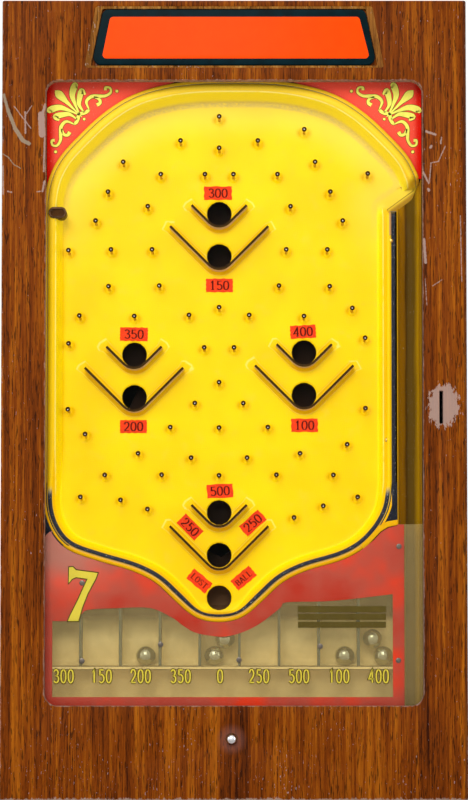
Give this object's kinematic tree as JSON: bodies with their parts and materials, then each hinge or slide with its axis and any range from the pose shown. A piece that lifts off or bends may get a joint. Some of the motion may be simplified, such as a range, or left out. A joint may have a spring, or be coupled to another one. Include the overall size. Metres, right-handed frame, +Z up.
{
  "type": "upright pin table game",
  "caption": "Upright coin-operated pin table: wooden cabinet, glazed window, stamped pin tray, scoring holes, ball channels, lane and side lever.",
  "frame": {"origin": "middle of the cabinet's underside", "axes": "+Z up, -Y towards the player, +X the player's right"},
  "size_m": [0.3238, 0.1697, 0.511],
  "materials": {
    "varnished_wood": "varnished mahogany-stained wood, worn",
    "plain_wood": "plain sawn softwood",
    "dark_steel": "tarnished spring-steel strip",
    "ball_steel": "polished steel",
    "title_enamel": "orange-red field with a black border",
    "window_glass": "clear sheet glass",
    "celluloid": "clear celluloid printed in translucent red",
    "red_card": "printed card, red with gold scrollwork",
    "yellow_enamel": "yellow enamel on stamped sheet steel, dusty",
    "lane_brass": "brassed sheet, tarnished",
    "tan_enamel": "tan enamel on sheet steel",
    "steel": "plain steel",
    "black_knob": "black moulded knob",
    "brass": "plain brass",
    "chrome": "bright plated",
    "tinplate": "tinned sheet steel"
  },
  "bodies": {
    "cabinet": {"left_side": "varnished_wood", "right_side": "varnished_wood", "top_board": "varnished_wood", "bottom_board": "varnished_wood", "front_panel": "varnished_wood", "back_top_rail": "varnished_wood", "back_bottom_rail": "varnished_wood", "left_cleat": "plain_wood", "right_cleat": "plain_wood", "top_small_fence": "dark_steel", "top_large_fence": "dark_steel", "left_small_fence": "dark_steel", "left_large_fence": "dark_steel", "right_small_fence": "dark_steel", "right_large_fence": "dark_steel", "bottom_small_fence": "dark_steel", "bottom_large_fence": "dark_steel", "rebound_loop": "dark_steel", "title_plate": "title_enamel", "window_glass": "window_glass", "score_sheet": "celluloid", "corner_card_left": "red_card", "corner_card_right": "red_card", "playfield_tray": "yellow_enamel", "ball_lane": "lane_brass", "collector_pan": "tan_enamel", "return_trough": "tan_enamel", "ball_guide_board": "tan_enamel", "lever_spring": "steel", "button_spring": "steel", "lever_bushing": "brass", "button_guide": "brass", "rocker_bracket": "brass", "coin_chute": "tinplate", "upper_hinge_frame_leaf": "brass", "lower_hinge_frame_leaf": "brass", "upper_hinge_pin": "steel", "lower_hinge_pin": "steel", "lock_strike": "steel"},
    "door": {"back_door": "plain_wood", "upper_hinge_door_leaf": "brass", "lower_hinge_door_leaf": "brass"},
    "lock": {"lock_barrel": "chrome", "lock_cam": "steel"},
    "lever": {"flick_lever": "steel", "lever_knob": "black_knob", "lever_shaft": "steel", "kicker": "steel"},
    "button": {"release_button": "chrome"},
    "rocker": {"gate_rocker": "steel"},
    "gate": {"release_gate": "steel"},
    "trip": {"coin_trip": "steel"},
    "cash_box": {"coin_box": "tinplate"},
    "ball_200": {"ball_200": "ball_steel"},
    "ball_0_lower": {"ball_0_lower": "ball_steel"},
    "ball_0_upper": {"ball_0_upper": "ball_steel"},
    "ball_100": {"ball_100": "ball_steel"},
    "ball_400_lower": {"ball_400_lower": "ball_steel"},
    "ball_400_upper": {"ball_400_upper": "ball_steel"},
    "ball_in_lane": {"ball_in_lane": "ball_steel"}
  },
  "joints": [
    {"name": "door_hinge", "type": "hinge", "parent": "cabinet", "child": "door", "pos_m": [-0.1348, 0.0825, 0.2555], "axis": [0, 0, 1], "range_deg": [0, 100]},
    {"name": "lock_turn", "type": "hinge", "parent": "door", "child": "lock", "pos_m": [0.117, 0.068, 0.2555], "axis": [0, 1, 0], "range_deg": [0, 90]},
    {"name": "lever_press", "type": "hinge", "parent": "cabinet", "child": "lever", "pos_m": [0.1126, -0.03, 0.036], "axis": [1, 0, 0], "range_deg": [0, 30], "stiffness_Nm_per_rad": 0.3, "springref_deg": -17.19, "deforming": ["lever_spring"]},
    {"name": "button_press", "type": "slide", "parent": "cabinet", "child": "button", "axis": [0, 1, 0], "range_m": [0, 0.0039], "stiffness_N_per_m": 400, "springref_m": -0.004, "deforming": ["button_spring"]},
    {"name": "rocker_tilt", "type": "hinge", "parent": "cabinet", "child": "rocker", "pos_m": [-0.0015, -0.04, 0.02], "axis": [-1, 0, 0], "range_deg": [0, 12.3]},
    {"name": "gate_slide", "type": "slide", "parent": "cabinet", "child": "gate", "axis": [0, 1, 0], "range_m": [0, 0.0138]},
    {"name": "coin_trip_tip", "type": "hinge", "parent": "cabinet", "child": "trip", "pos_m": [0.13, -0.035, 0.15], "axis": [1, 0, 0], "range_deg": [0, 35]},
    {"name": "cash_box_slide", "type": "slide", "parent": "cabinet", "child": "cash_box", "axis": [0, 1, 0], "range_m": [0, 0.0135]},
    {"name": "ball_200_lift", "type": "slide", "parent": "cabinet", "child": "ball_200", "axis": [0, 0, 1], "range_m": [0, 0.03]},
    {"name": "ball_0_lower_lift", "type": "slide", "parent": "cabinet", "child": "ball_0_lower", "axis": [0, 0, 1], "range_m": [0, 0.006]},
    {"name": "ball_0_upper_lift", "type": "slide", "parent": "cabinet", "child": "ball_0_upper", "axis": [0, 0, 1], "range_m": [0, 0.006]},
    {"name": "ball_100_lift", "type": "slide", "parent": "cabinet", "child": "ball_100", "axis": [0, 0, 1], "range_m": [0, 0.03]},
    {"name": "ball_400_lower_lift", "type": "slide", "parent": "cabinet", "child": "ball_400_lower", "axis": [0, 0, 1], "range_m": [0, 0.03]},
    {"name": "ball_400_upper_lift", "type": "slide", "parent": "cabinet", "child": "ball_400_upper", "axis": [0, 0, 1], "range_m": [0, 0.03]},
    {"name": "ball_in_lane_lift", "type": "slide", "parent": "cabinet", "child": "ball_in_lane", "axis": [0, 0, 1], "range_m": [0, 0.3]}
  ],
  "couplings": [
    {"joint": "rocker_tilt", "follows": "button_press", "rad_per_m": 54.348},
    {"joint": "gate_slide", "follows": "button_press", "ratio": 3.5054},
    {"joint": "ball_0_lower_lift", "follows": "ball_0_upper_lift", "ratio": 1},
    {"joint": "ball_400_lower_lift", "follows": "ball_400_upper_lift", "ratio": 1}
  ]
}
